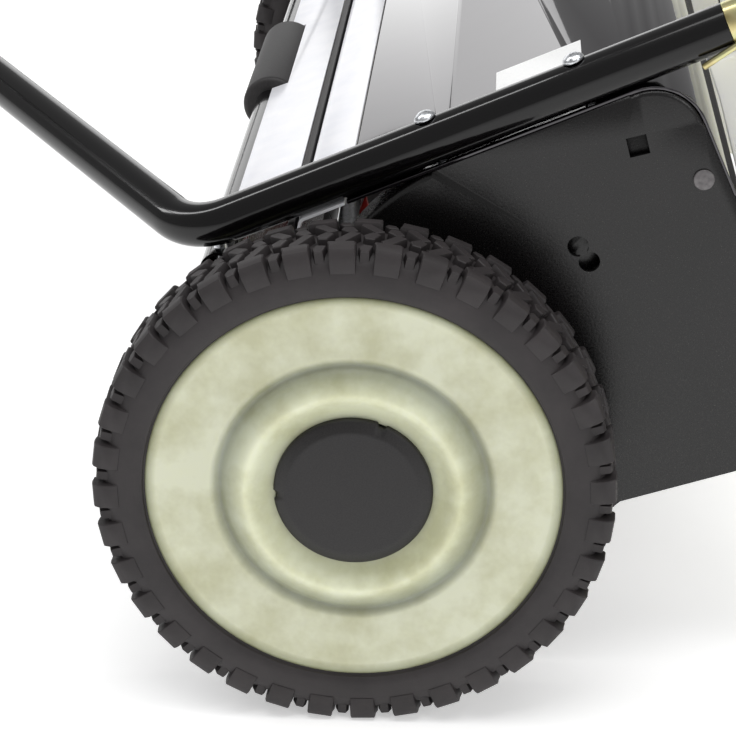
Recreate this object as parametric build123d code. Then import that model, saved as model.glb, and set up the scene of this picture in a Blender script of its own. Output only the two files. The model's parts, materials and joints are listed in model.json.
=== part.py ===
from build123d import *
import math
import os

# Hooded reel mower, push type, with a front grass catcher.
# Millimetres. +X is forward, +Y is the mower's left, +Z is up.
# The origin is on the ground, straight under the middle of the wheel axis.

# ---------------------------------------------------------------- driving dimensions
TYRE_R = 127.0            # 10 inch wheel
TYRE_WIDTH = 44.5         # 1.75 inch tread
RIM_Y = 400.0             # outer rim face of a wheel from the middle plane
PLATE_Y = 338.0           # outer face of a side plate from the middle plane
PLATE_T = 2.5             # side plate sheet
HOOD_T = 1.5              # hood sheet
SLOPE = 23.2              # the hood's top and the frame tubes climb forward at this angle
CORNER = (152.3, 319.4)   # where a side plate's top edge and front edge would meet
FRONT_LEAN = 24.4         # front edge of a side plate, from vertical
FLANGE_W = 17.5           # width of the flange turned in along a plate's top and front

TUBE_R = 11.1             # 7/8 inch frame tube
TUBE_WALL = 1.5
TUBE_Y = 330.0            # frame tube's middle line
TUBE_FRONT_X = 172.0
TUBE_BEND_X = -83.0
TUBE_BEND_R = 36.0
YOKE_X = -335.0           # where both frame tubes turn back side by side
YOKE_Y = 20.0
YOKE_Z = 290.0
YOKE_END_X = -415.0
YOKE_BEND_R = 45.0

REEL_X, REEL_Z = 38.4, 110.0
REEL_R = 75.0
REEL_SHAFT_R = 8.0
BLADE_COUNT = 5
BLADE_HALF = 322.0
BLADE_TWIST = 75.0
BLADE_T = 3.0
BLADE_DEPTH = 13.0
SPIDER_STATIONS = (-300.0, -150.0, 0.0, 150.0, 300.0)
BEARING_R = 16.0          # boss of a reel bearing, and its hole in the side plate

GEAR_MODULE = 2.0
RING_TEETH = 54
PINION_TEETH = 12
PRESSURE_ANGLE = 20.0
BACKLASH = 0.3

AXLE_R = 6.35
FIT = 0.05                # radial clearance of a running fit
GAP = 0.3                 # clearance between faces that move past each other

ROLLER_X, ROLLER_Z, ROLLER_R = -80.0, 25.0, 25.0
ROLLER_SHAFT_R = 6.0
ARM_PIVOT = (-45.0, 95.0)
ARM_LOCK = (-38.0, 134.0)
CROSS_TUBE = (-70.3, 214.9)
CROSS_TUBE_R = 9.5
TIE_ROD = (164.4, 268.0)
TIE_ROD_R = 4.0
ARM_PIVOT_R = 5.0
ARM_LOCK_R = 4.0
ARM_T = 4.0               # thickness of a roller arm
ARM_IN = PLATE_Y - PLATE_T - GAP - ARM_T   # inner face of a roller arm

PIVOT_X, PIVOT_Z = -418.0, 332.0
STEM_ANGLE = 134.5        # handle stem from +X, in the XZ plane
STEM_LENGTH = 880.0
STEM_R = 12.7
GRIP_R = 16.0

CATCHER_Y = 322.0
CATCHER_T = 3.0
HANG_PIN = (225.0, 298.0)
PIN_R = 4.0

HOOK_Y0, HOOK_Y1 = TUBE_Y + 4, TUBE_Y + 9
WIRE_Y = TUBE_Y + 10

SQUARE_HOLE = (132.4, 284.1)              # spare holes in a side plate
SQUARE_HOLE_W = 9.8
TWIN_HOLES = [(105.8, 232.4), (111.5, 224.6)]
ACCESSORY_HOLE = (214.0, 152.0)
SPARE_HOLE_R = 5.25
BED_BOLTS = [(-35.0, 49.5), (-23.0, 49.5)]
BED_BOLT_R = 2.5
BEARING_SCREW_R = 2.0
BEARING_SCREWS = [(REEL_X + 20 * math.cos(math.radians(a)), REEL_Z + 20 * math.sin(math.radians(a)))
                  for a in (60, 240)]
BACK_EDGE_X = 43.0              # a plate's sloping top edge meets its curved back edge here
TUBE_BOLT_X = (40.0, 110.0)
TUBE_BOLT_R = 3.0
CROSS_BOLT_Y = 327.0
YOKE_BOLT_X = (-366.0, -388.0)
YOKE_BOLT_R = 4.0
PIVOT_R = 4.0
STOP_PIN_R = 4.0
EAR_T = 4.0               # clevis ear sheet
KNIFE_SCREW_X = -28.0
KNIFE_SCREW_Y = (-270, -135, 0, 135, 270)
BED_TOP = 42.0
HOOD_LIP = 66.0           # length of the hood's front slope from the corner
SEAM_X = (-29.0, -7.0)    # rear edge of the hood's top, and the joint ahead of it
JOINT_AT = 450.0          # where the upper stem plugs into the lower stem

SIDES = {"right": -1, "left": 1}

# ---------------------------------------------------------------- small tools
up_slope = (math.cos(math.radians(SLOPE)), math.sin(math.radians(SLOPE)))
off_slope = (-up_slope[1], up_slope[0])
down_front = (math.sin(math.radians(FRONT_LEAN)), -math.cos(math.radians(FRONT_LEAN)))


def save(node, solids):
    """Write one named piece; several like solids share a node."""
    if not isinstance(solids, (list, tuple)):
        solids = [solids]
    flat = [s for shape in solids for s in shape.solids()]
    shape = flat[0] if len(flat) == 1 else Compound(children=flat)
    export_step(shape, f"parts/{node}.step")


def mirrored(shape, side):
    """Shapes are drawn on the left; side -1 gives the right-hand twin."""
    return shape if side > 0 else mirror(shape, about=Plane.XZ)


def both_sides(shape):
    return [mirrored(shape, side) for side in SIDES.values()]


def slab(face, y0, y1):
    """Extrude a face drawn in the XZ plane from y0 to y1."""
    return Pos(0, y1, 0) * extrude(face, amount=y1 - y0, dir=(0, -1, 0))


def polygon(points):
    return make_face(Plane.XZ * Polyline(*points, close=True))


def bar_y(x, z, radius, y0, y1):
    return Pos(x, (y0 + y1) / 2, z) * Rot(90, 0, 0) * Cylinder(radius, y1 - y0)


def ring_y(x, z, outer, inner, y0, y1):
    return bar_y(x, z, outer, y0, y1) - bar_y(x, z, inner, y0 - 1, y1 + 1)


def hexagon_y(x, z, across, y0, y1):
    face = Plane.XZ * RegularPolygon(across / 2, 6, major_radius=False)
    return Pos(x, 0, z) * slab(face, y0, y1)


def link(p0, p1, width, y0, y1):
    """Flat bar with round ends between two points of the XZ plane."""
    dx, dz = p1[0] - p0[0], p1[1] - p0[1]
    length = math.hypot(dx, dz)
    face = Plane.XZ * (Rot(0, 0, math.degrees(math.atan2(dz, dx))) * SlotCenterToCenter(length, width))
    return Pos((p0[0] + p1[0]) / 2, 0, (p0[1] + p1[1]) / 2) * slab(face, y0, y1)


def on_slope(x, lift=0.0):
    """Point above a plate's top edge line at x, raised square to the slope."""
    along = (x - CORNER[0]) / up_slope[0]
    return (CORNER[0] + along * up_slope[0] + lift * off_slope[0],
            CORNER[1] + along * up_slope[1] + lift * off_slope[1])


def on_front(distance, lift=0.0):
    """Point on the front edge line, a distance down from the corner, raised outward."""
    return (CORNER[0] + distance * down_front[0] - lift * down_front[1],
            CORNER[1] + distance * down_front[1] + lift * down_front[0])


def offset_path(points, shift):
    """Move an open path of corner points sideways by shift, to its left."""
    moved = []
    units = []
    for (x0, z0), (x1, z1) in zip(points, points[1:]):
        length = math.hypot(x1 - x0, z1 - z0)
        units.append(((x1 - x0) / length, (z1 - z0) / length))
    for i, (x, z) in enumerate(points):
        before = units[max(i - 1, 0)]
        after = units[min(i, len(units) - 1)]
        nx, nz = -(before[1] + after[1]), before[0] + after[0]
        size = math.hypot(nx, nz)
        cosine = (-before[1] * nx + before[0] * nz) / size
        moved.append((x + shift * nx / size / cosine, z + shift * nz / size / cosine))
    return moved


def sheet(points, radii, thickness):
    """Bent sheet in section: points along one face, thickness to the path's left."""
    far = offset_path(points, thickness)
    far_radii = []
    for i, radius in enumerate(radii, start=1):
        (ax, az), (bx, bz), (cx, cz) = points[i - 1], points[i], points[i + 1]
        turn = (bx - ax) * (cz - bz) - (bz - az) * (cx - bx)
        far_radii.append(radius - thickness if turn > 0 else radius + thickness)
    near_line = FilletPolyline(*points, radius=radii) if radii else Polyline(*points)
    far_line = FilletPolyline(*far, radius=far_radii) if radii else Polyline(*far)
    ends = [Line(points[0], far[0]), Line(points[-1], far[-1])]
    return Plane.XZ * make_face([*near_line.edges(), *far_line.edges(), *ends])


def bent_tube(points, radii, outer, inner):
    """Round tube along straight runs joined by arcs."""
    path = FilletPolyline(*points, radius=radii)
    start = Plane(origin=path @ 0, z_dir=path % 0)
    ring = start * (Circle(outer) - Circle(inner)) if inner else start * Circle(outer)
    return sweep(ring, path=path)


# ---------------------------------------------------------------- gears
def gear_outline(teeth, tip_r, root_r, thickness_change):
    """Outline of a spur gear with involute flanks; tooth 0 points along +X."""
    pitch_r = GEAR_MODULE * teeth / 2
    base_r = pitch_r * math.cos(math.radians(PRESSURE_ANGLE))

    def involute(radius):
        if radius <= base_r:
            return 0.0
        angle = math.acos(base_r / radius)
        return math.tan(angle) - angle

    half_tooth = (math.pi * GEAR_MODULE / 2 + thickness_change) / (2 * pitch_r)
    steps = 4
    points = []
    for tooth in range(teeth):
        middle = 2 * math.pi * tooth / teeth
        flank = []
        for i in range(steps + 1):
            radius = root_r + (tip_r - root_r) * i / steps
            flank.append((radius, half_tooth + involute(pitch_r) - involute(radius)))
        for radius, half in flank:
            points.append((radius * math.cos(middle - half), radius * math.sin(middle - half)))
        for radius, half in reversed(flank):
            points.append((radius * math.cos(middle + half), radius * math.sin(middle + half)))
    return make_face(Polyline(*points, close=True))


mesh_angle = math.degrees(math.atan2(REEL_Z - TYRE_R, REEL_X))


def ring_gear():
    """Internal gear ring fixed in the wheel, with a tooth space facing the pinion."""
    pitch_r = GEAR_MODULE * RING_TEETH / 2
    spaces = gear_outline(RING_TEETH, pitch_r + 2.5, pitch_r - 1.6, BACKLASH)
    spaces = Rot(0, 0, mesh_angle) * spaces
    body = ring_y(0, 0, 61.0, 30.0, RIM_Y - 38, RIM_Y - 9)
    cut = slab(Plane.XZ * spaces, RIM_Y - 39, RIM_Y - 23)
    bore = bar_y(0, 0, pitch_r - 1.6, RIM_Y - 39, RIM_Y)
    seat = ring_y(0, 0, 66.5, pitch_r - 1.6, RIM_Y - 10, RIM_Y - 7)
    return Pos(0, 0, TYRE_R) * (body - cut - bore + seat)


def pinion():
    """Pinion that rides on the reel shaft and drives it through a pawl."""
    pitch_r = GEAR_MODULE * PINION_TEETH / 2
    face = gear_outline(PINION_TEETH, pitch_r + 1.7, pitch_r - 2.3, -BACKLASH)
    face = Rot(0, 0, mesh_angle) * face
    teeth = slab(Plane.XZ * face, RIM_Y - 37, RIM_Y - 25)
    boss = bar_y(0, 0, 9.6, RIM_Y - 46, RIM_Y - 37)
    return Pos(REEL_X, 0, REEL_Z) * (teeth + boss - bar_y(0, 0, REEL_SHAFT_R + FIT, 300, 400))


# ---------------------------------------------------------------- wheels
def turned(points):
    """Revolve a (radius, inset from the rim face) outline about the wheel axis."""
    outline = make_face(Polyline(*[(r, RIM_Y + d) for r, d in points], close=True))
    return Pos(0, 0, TYRE_R) * revolve(outline, Axis.Y)


def tyre():
    half = TYRE_WIDTH / 2
    middle = 3.25 - half
    outline = [(100, -40), (100, -4), (101.8, -4), (101.8, -0.5), (105, 2.2), (111, 3.25),
               (117, 2.4), (121, 0.8), (125, -3.5), (126.4, -9), (TYRE_R, middle)]
    lower = [(r, 2 * middle - d) for r, d in outline if r > 101.8]
    return turned(outline + lower[:-1][::-1])


def wheel_disc():
    """Moulded wheel: dished face with a raised ring, rim barrel, cap pocket and hub."""
    face = [(9, -12), (14, -12), (14, -16), (37.5, -16), (37.5, -2.5), (40.2, -2.5)]
    wave = [(40.2 + 27.8 * i / 16, ring_height(40.2 + 27.8 * i / 16)) for i in range(1, 17)]
    rim = [(96, -1), (98, 0), (100.2, 0), (101.3, -1.1), (101.3, -4), (100, -4),
           (100, -40), (97, -40), (97, -4)]
    back = [(r, d - 3) for r, d in reversed(wave)]
    hub = [(40.2, -19), (14, -19), (14, -48), (9, -48)]
    return turned(face + wave + rim + back + hub)


def ring_height(radius):
    """Height of the wheel's face: a raised ring with a groove outside it."""
    crest = 6.0 * math.exp(-((radius - 52.0) / 6.5) ** 2)
    groove = -2.8 * math.exp(-((radius - 65.2) / 2.6) ** 2)
    return crest + groove - 2.6 + 1.6 * min(1.0, max(0.0, (radius - 40.2) / 24.0))


def hub_cap():
    outline = [(0, -1), (0, 2.4), (32.6, 2.4), (33.6, 2.1), (37.8, 0.2), (38.6, -0.8), (38.6, -2.5),
               (37.45, -2.5), (37.45, -11), (35.4, -11), (35.4, -1)]
    return turned(outline)


def wheel_parts(name, side):
    save(f"tyre_{name}", mirrored(tyre(), side))
    save(f"wheel_disc_{name}", mirrored(wheel_disc(), side))
    save(f"hub_cap_{name}", mirrored(hub_cap(), side))
    bush = ring_y(0, TYRE_R, 9.0, AXLE_R + FIT, RIM_Y - 48, RIM_Y - 12)
    save(f"wheel_bush_{name}", mirrored(bush, side))
    save(f"ring_gear_{name}", mirrored(ring_gear(), side))
    save(f"pinion_{name}", mirrored(pinion(), side))


def axle():
    """Stub axle with a shoulder that bears on the side plate."""
    pin = bar_y(0, TYRE_R, AXLE_R, PLATE_Y - PLATE_T - 10, RIM_Y - 8)
    return pin + ring_y(0, TYRE_R, 11.0, AXLE_R - 1, PLATE_Y, RIM_Y - 48 - GAP)


def axle_nut():
    inner = PLATE_Y - PLATE_T
    return nut_y(0, TYRE_R, 19, AXLE_R, inner - 8, inner)


def axle_clip():
    return ring_y(0, TYRE_R, 11.0, AXLE_R, RIM_Y - 12 + GAP, RIM_Y - 10.2)


def gear_shield():
    """Fixed dust cover between the side plate and the wheel's gear."""
    disc = ring_y(0, TYRE_R, 64.0, 13.0, RIM_Y - 54, RIM_Y - 52.5)
    skirt = ring_y(0, TYRE_R, 64.0, 62.6, RIM_Y - 53, RIM_Y - 35)
    shield = disc + skirt - bar_y(REEL_X, REEL_Z, 11.0, RIM_Y - 60, RIM_Y - 50)
    for angle in (75, 195, 285):
        x = 52 * math.cos(math.radians(angle))
        z = TYRE_R + 52 * math.sin(math.radians(angle))
        shield += bar_y(x, z, 4.0, PLATE_Y, RIM_Y - 53)
    return shield


def hole_shield():
    """Thin cover inside the side plate that keeps grass in behind its spare holes."""
    inner = PLATE_Y - PLATE_T
    face = polygon([(90, 212), (124, 212), (148, 268), on_slope(136, -14), on_slope(108, -14), (90, 250)])
    cover = slab(face, inner - 7, inner - 5.8)
    for x, z in ((97, 219), (139, 262)):
        cover += bar_y(x, z, 3.0, inner - 6, inner)
    return cover


# ---------------------------------------------------------------- side plates
def plate_face(inset=0.0):
    """Side plate outline: sloping top, round front corner, curved back edge."""
    arc_middle, arc_r = (84.0, 173.0), 110.0
    top_start = on_slope(BACK_EDGE_X)
    corner_r = 25.0
    turn = math.radians(180 - 90 - SLOPE + FRONT_LEAN) / 2
    reach = corner_r / math.tan(turn)
    top_end = (CORNER[0] - reach * up_slope[0], CORNER[1] - reach * up_slope[1])
    front_start = on_front(reach)
    front_end = on_front(208.0)
    back = (arc_middle[0] - arc_r, arc_middle[1])
    edges = [
        Line(top_start, top_end),
        RadiusArc(top_end, front_start, corner_r),
        Polyline(front_start, front_end, (189, 113.4), (132, 94.6), (95, 60), (30, 22),
                 (-62, 22), (-88, 66), (-72, 135), back),
        RadiusArc(back, top_start, arc_r),
    ]
    face = make_face([edge for shape in edges for edge in shape.edges()])
    return Plane.XZ * (offset(face, amount=-inset) if inset else face)


def flange():
    """Edge of the plate turned inward along its top, round corner and front."""
    strip = slab(plate_face(), PLATE_Y - PLATE_T - FLANGE_W, PLATE_Y - 1)
    strip -= slab(plate_face(PLATE_T), PLATE_Y - 60, PLATE_Y)
    keep = polygon([(-24, 180), (-80, 330), (260, 400), (260, 300), on_front(HOOD_LIP - 8),
                    (120, 240), (60, 200)])
    return strip & slab(keep, PLATE_Y - 60, PLATE_Y)


def plate_holes():
    """Everything that passes through a left side plate."""
    y0, y1 = PLATE_Y - 8, PLATE_Y + 5
    cuts = bar_y(0, TYRE_R, AXLE_R, y0, y1)
    cuts += bar_y(REEL_X, REEL_Z, BEARING_R, y0, y1)
    square = Plane.XZ * (Rot(0, 0, SLOPE - 8) * Rectangle(SQUARE_HOLE_W, SQUARE_HOLE_W))
    cuts += Pos(SQUARE_HOLE[0], 0, SQUARE_HOLE[1]) * slab(square, y0, y1)
    for x, z in [*TWIN_HOLES, ACCESSORY_HOLE]:
        cuts += bar_y(x, z, SPARE_HOLE_R, y0, y1)
    cuts += bar_y(*TIE_ROD, TIE_ROD_R, y0, y1)
    cuts += bar_y(*ARM_PIVOT, ARM_PIVOT_R, y0, y1)
    for x, z in BED_BOLTS:
        cuts += bar_y(x, z, BED_BOLT_R, y0, y1)
    for x, z in BEARING_SCREWS:
        cuts += bar_y(x, z, BEARING_SCREW_R, y0, y1)
    for swing in range(-10, 17, 2):
        x, z = swung(ARM_LOCK, swing)
        cuts += bar_y(x, z, 4.4, y0, y1)
    return cuts


def swung(point, degrees_about_y):
    """A roller arm point after the arm has turned about its pivot."""
    angle = math.radians(degrees_about_y)
    dx, dz = point[0] - ARM_PIVOT[0], point[1] - ARM_PIVOT[1]
    return (ARM_PIVOT[0] + dx * math.cos(angle) + dz * math.sin(angle),
            ARM_PIVOT[1] - dx * math.sin(angle) + dz * math.cos(angle))


def slope_bolt_hole(x, radius):
    """Hole square to the slope through tube, hood and flange at x."""
    px, pz = on_slope(x)
    return Pos(px, TUBE_Y, pz) * Rot(0, -SLOPE, 0) * Cylinder(radius, 60)


def side_plate():
    plate = slab(plate_face(), PLATE_Y - PLATE_T, PLATE_Y) + flange() - plate_holes()
    for x in TUBE_BOLT_X:
        plate -= slope_bolt_hole(x, TUBE_BOLT_R)
    return plate


def reel_bearing():
    body = ring_y(REEL_X, REEL_Z, BEARING_R, REEL_SHAFT_R + FIT, PLATE_Y - 10, PLATE_Y)
    body += ring_y(REEL_X, REEL_Z, 24.0, REEL_SHAFT_R + FIT, PLATE_Y, PLATE_Y + 4)
    for x, z in BEARING_SCREWS:
        body -= bar_y(x, z, BEARING_SCREW_R, PLATE_Y - 9, PLATE_Y + 9)
    return body


def screw(x, z, radius, head_r, head_h, y_head, length):
    """Screw along Y on the left side: round head outside, shank pointing in."""
    return bar_y(x, z, radius, y_head - length, y_head) + bar_y(x, z, head_r, y_head, y_head + head_h)


# ---------------------------------------------------------------- hood
def hood_cover():
    """Glossy top sheet: flat top, round front corner, short front slope."""
    lift = 0.02
    corner = (CORNER[0] + lift, CORNER[1] + lift)
    points = [on_slope(SEAM_X[1] + 0.6, lift), corner, on_front(HOOD_LIP, lift)]
    cover = slab(sheet(points, [25.0], HOOD_T), -PLATE_Y + 1, PLATE_Y - 1)
    for x in TUBE_BOLT_X:
        hole = slope_bolt_hole(x, TUBE_BOLT_R)
        cover -= hole
        cover -= mirror(hole, about=Plane.XZ)
    return cover


def hood_rear_panel():
    """Narrow panel behind the hood's joint, turned down at its back edge."""
    start = on_slope(SEAM_X[0])
    points = [(start[0] - 1.5, start[1] - 9), start, on_slope(SEAM_X[1] - 0.6)]
    return slab(sheet(points, [3.0], HOOD_T), -PLATE_Y + 1, PLATE_Y - 1)


def seam_bead():
    """Black edging along the back of the hood's top."""
    x, z = on_slope(SEAM_X[0])
    face = polygon([(x - 3.2, z - 8.5), (x - 7.5, z - 6.5), (x - 7.2, z - 2.6), (x - 3.2, z - 0.6)])
    return slab(face, -PLATE_Y + 2, PLATE_Y - 2)


def rear_apron():
    """Light sheet from the hood's back edge down to the cross tube."""
    x, z = on_slope(SEAM_X[0])
    start = (CROSS_TUBE[0] + 1, CROSS_TUBE[1] + CROSS_TUBE_R + 0.1)
    face = sheet([start, (x - 7.8, z - 5.0)], [], 1.2)
    return slab(face, -PLATE_Y + 22, PLATE_Y - 22) - grip_room()


def grip_room():
    """Space for the grip sleeve and the fingers' side of it."""
    return bar_y(*CROSS_TUBE, 17.5, -64.5, 64.5)


def rear_deflector():
    """Lower half of the deflector: from the cross tube down behind the reel."""
    top = (CROSS_TUBE[0] + 2, CROSS_TUBE[1] - CROSS_TUBE_R - 1)
    points = [top, (-58, 160), (-52, 92)]
    half = PLATE_Y - PLATE_T - 16
    return slab(sheet(points, [60.0], 1.2), -half, half) - grip_room()


def front_lip_strip():
    """Rubber bulb along the hood's front lip, with a tongue held under the sheet."""
    bulb_r = 2.4
    x, z = on_front(HOOD_LIP + bulb_r, 0.4)
    bulb = bar_y(x, z, bulb_r, -PLATE_Y + 4, PLATE_Y - 4)
    half = PLATE_Y - PLATE_T - FLANGE_W - 3
    tongue = sheet([on_front(HOOD_LIP + bulb_r, -0.1), on_front(HOOD_LIP - 12, -0.1)], [], 2.0)
    return bulb + slab(tongue, -half, half)


def data_label():
    a, b = on_slope(64.7, HOOD_T + 0.05), on_slope(107.8, HOOD_T + 0.05)
    return slab(sheet([a, b], [], 0.3), -305, -219)


# ---------------------------------------------------------------- frame tubes and yoke
tube_lift = HOOD_T + TUBE_R + 0.05
tube_shift = tube_lift * up_slope[1]
tube_end = on_slope(TUBE_FRONT_X + tube_shift, tube_lift)
tube_bend = on_slope(TUBE_BEND_X + tube_shift, tube_lift)


def tube_points():
    return [(tube_end[0], TUBE_Y, tube_end[1]),
            (tube_bend[0], TUBE_Y, tube_bend[1]),
            (YOKE_X, YOKE_Y, YOKE_Z),
            (YOKE_END_X, YOKE_Y, YOKE_Z)]


def frame_tube():
    tube = bent_tube(tube_points(), [TUBE_BEND_R, YOKE_BEND_R], TUBE_R, TUBE_R - TUBE_WALL)
    for x in TUBE_BOLT_X:
        tube -= slope_bolt_hole(x, TUBE_BOLT_R)
    return tube - Pos(CROSS_TUBE[0], CROSS_BOLT_Y, CROSS_TUBE[1] + 6) * Cylinder(TUBE_BOLT_R, 22)


def tube_bolt(x):
    """Bolt down through tube, hood and flange, with a domed plated head."""
    px, pz = on_slope(x)
    top = tube_lift + TUBE_R
    shank = Pos(0, 0, top / 2 - 6) * Cylinder(TUBE_BOLT_R, top + 12)
    dome = Pos(0, 0, top - 2.2) * Sphere(6.4) & Pos(0, 0, top + 5) * Cylinder(5.4, 10)
    return Pos(px, TUBE_Y, pz) * Rot(0, -SLOPE, 0) * (shank + dome)


def tube_nut(x):
    px, pz = on_slope(x)
    nut = extrude(RegularPolygon(5.0, 6, major_radius=False), amount=5)
    drop = 2.2 if x < BACK_EDGE_X else 0.0
    nut = Pos(0, 0, -PLATE_T - drop - 5) * nut - Cylinder(TUBE_BOLT_R, 40)
    return Pos(px, TUBE_Y, pz) * Rot(0, -SLOPE, 0) * nut


def catcher_hook():
    """Zinc plated collar plugged in the tube's front end, with a hook and a stop wire.

    The hook's slot runs up and forward, so the catcher's own weight holds its pins in."""
    along = Rot(0, 90 - SLOPE, 0)
    collar = Pos(tube_end[0], TUBE_Y, tube_end[1]) * along * (
        Pos(0, 0, 15) * Cylinder(TUBE_R, 30) + Pos(0, 0, -15) * Cylinder(TUBE_R - TUBE_WALL, 30))
    px, pz = HANG_PIN
    shank = polygon([(182, 338), (200, 357), (209, 352), (px - 4.5, pz + 2),
                     (px - 4.5, pz - 12), (px - 16, pz - 8)])
    hook = slab(shank, HOOK_Y0, HOOK_Y1)
    slot_r = PIN_R + 0.4
    hook += ring_y(px, pz, 13.0, slot_r, HOOK_Y0, HOOK_Y1)
    slot = []
    for along, across in ((0, -slot_r), (30, -slot_r), (30, slot_r), (0, slot_r)):
        slot.append((px + along * up_slope[0] + across * off_slope[0],
                     pz + along * up_slope[1] + across * off_slope[1]))
    hook -= slab(polygon(slot), HOOK_Y0 - 1, HOOK_Y1 + 1)
    route = [(160.7, WIRE_Y, 323.7), (174.0, WIRE_Y, 333.6), (194.0, WIRE_Y, 347.0)]
    wire = bent_tube(route, [40.0], 1.6, None)
    return collar + hook + wire


def cross_tube():
    tube = ring_y(*CROSS_TUBE, CROSS_TUBE_R, CROSS_TUBE_R - TUBE_WALL, -TUBE_Y - 6, TUBE_Y + 6)
    for side in (-1, 1):
        tube -= Pos(CROSS_TUBE[0], side * CROSS_BOLT_Y, CROSS_TUBE[1]) * Cylinder(TUBE_BOLT_R, 40)
    return tube


def cross_tube_bolt():
    """Bolt from below through the cross tube into the frame tube's lower wall."""
    x, z = CROSS_TUBE
    shank = Pos(x, CROSS_BOLT_Y, z + 1) * Cylinder(TUBE_BOLT_R, 32)
    return shank + Pos(x, CROSS_BOLT_Y, z - 15) * Cylinder(5.5, 5)


def carry_grip():
    """Moulded sleeve round the middle of the cross tube, used to lift the mower."""
    return ring_y(*CROSS_TUBE, 17.0, CROSS_TUBE_R, -64, 64)


def yoke_clamp(upper):
    """Half of the clamp that holds both frame tubes side by side."""
    z0, z1 = (YOKE_Z + 0.4, YOKE_Z + 17) if upper else (YOKE_Z - 17, YOKE_Z - 0.4)
    block = Pos(YOKE_END_X + 29, 0, (z0 + z1) / 2) * Box(52, 76, z1 - z0)
    for side in (-1, 1):
        block -= Pos(YOKE_END_X + 29, side * YOKE_Y, YOKE_Z) * Rot(0, 90, 0) * Cylinder(TUBE_R, 200)
    for x in YOKE_BOLT_X:
        block -= Pos(x, 0, YOKE_Z) * Cylinder(YOKE_BOLT_R, 80)
    return block


def yoke_bolt(x):
    """Hex bolt down through the clevis base and both clamps, with its nut."""
    top = YOKE_Z + 20
    bolt = Pos(x, 0, YOKE_Z) * Cylinder(YOKE_BOLT_R, 50)
    for z in (top, YOKE_Z - 17 - 6):
        bolt += Pos(x, 0, z) * extrude(RegularPolygon(6.5, 6, major_radius=False), amount=6)
    return bolt


def stop_pin():
    """Cross pin in the clevis that the handle stem rests on."""
    half = STEM_R + GAP + EAR_T
    x, z = stem_point(30, -(STEM_R + STOP_PIN_R + GAP))
    return bar_y(x, z, STOP_PIN_R, -half - 1.5, half + 1.5)


def yoke_ears():
    """Clevis welded on the upper clamp; the handle stem turns between its ears."""
    stop = stem_point(30, -(STEM_R + STOP_PIN_R + GAP))
    outline = make_hull([*Circle(15).locate(Location((PIVOT_X, PIVOT_Z))).edges(),
                         *Circle(9).locate(Location(stop)).edges(),
                         *Line((-402, YOKE_Z + 17), (-372, YOKE_Z + 17)).edges()])
    ears = []
    for y0 in (-STEM_R - GAP - EAR_T, STEM_R + GAP):
        ears.append(slab(Plane.XZ * outline, y0, y0 + EAR_T))
    base = Pos(-388, 0, YOKE_Z + 18.5) * Box(32, 2 * (STEM_R + GAP + EAR_T), 3)
    shape = ears[0] + ears[1] + base
    for x in YOKE_BOLT_X:
        shape -= Pos(x, 0, YOKE_Z) * Cylinder(YOKE_BOLT_R, 120)
    shape -= bar_y(PIVOT_X, PIVOT_Z, PIVOT_R, -40, 40)
    return shape - bar_y(*stop, STOP_PIN_R, -40, 40)


def stem_point(along, across=0.0):
    """Point of the XZ plane, along the handle stem and square to it."""
    c, s = math.cos(math.radians(STEM_ANGLE)), math.sin(math.radians(STEM_ANGLE))
    return (PIVOT_X + along * c + across * s, PIVOT_Z + along * s - across * c)


# ---------------------------------------------------------------- handle
def on_stem(shape):
    """Place a shape drawn along +Z from the pivot onto the handle stem."""
    return Pos(PIVOT_X, 0, PIVOT_Z) * Rot(0, 90 - STEM_ANGLE, 0) * shape


def stem_section(start, end, outer, inner):
    middle, length = (start + end) / 2, end - start
    return Pos(0, 0, middle) * (Cylinder(outer, length) - Cylinder(inner, length + 2))


def handle_stem_lower():
    tube = stem_section(-14, JOINT_AT, STEM_R, 11.2)
    return on_stem(tube) - bar_y(PIVOT_X, PIVOT_Z, PIVOT_R + FIT, -40, 40) - stem_bolt_hole(JOINT_AT - 30)


def handle_stem_upper():
    tube = stem_section(JOINT_AT - 60, STEM_LENGTH - 12, 11.2, 9.7)
    return on_stem(tube) - stem_bolt_hole(JOINT_AT - 30)


def stem_bolt_hole(along):
    x, z = stem_point(along)
    return bar_y(x, z, 3.0, -40, 40)


def stem_bolt():
    x, z = stem_point(JOINT_AT - 30)
    bolt = bar_y(x, z, 3.0, -STEM_R - 6, STEM_R)
    return bolt + bar_y(x, z, 6.0, STEM_R, STEM_R + 3.5)


def stem_knob():
    """Hand knob on the bolt that joins the two stem sections."""
    x, z = stem_point(JOINT_AT - 30)
    knob = bar_y(x, z, 14.0, -STEM_R - 16, -STEM_R)
    for i in range(6):
        angle = math.radians(60 * i)
        knob -= bar_y(x + 16 * math.cos(angle), z + 16 * math.sin(angle), 5.0, -STEM_R - 17, -STEM_R - 3)
    return knob - bar_y(x, z, 3.0, -STEM_R - 6, 0)


def handle_tee():
    """Tee casting that joins the stem to the crossbar."""
    x, z = stem_point(STEM_LENGTH)
    cross = bar_y(x, z, 16.0, -34, 34)
    socket = on_stem(Pos(0, 0, STEM_LENGTH - 30) * Cylinder(15.5, 60))
    bore = on_stem(Pos(0, 0, STEM_LENGTH - 12 - 30) * Cylinder(11.2, 60))
    return cross + socket - bar_y(x, z, TUBE_R, -40, 40) - bore


def handle_crossbar():
    x, z = stem_point(STEM_LENGTH)
    return ring_y(x, z, TUBE_R, TUBE_R - TUBE_WALL, -232, 232)


def handle_grip():
    x, z = stem_point(STEM_LENGTH)
    grip = bar_y(x, z, GRIP_R, 112, 240) + bar_y(x, z, GRIP_R + 3, 108, 114)
    return grip - bar_y(x, z, TUBE_R, 100, 232)


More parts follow.
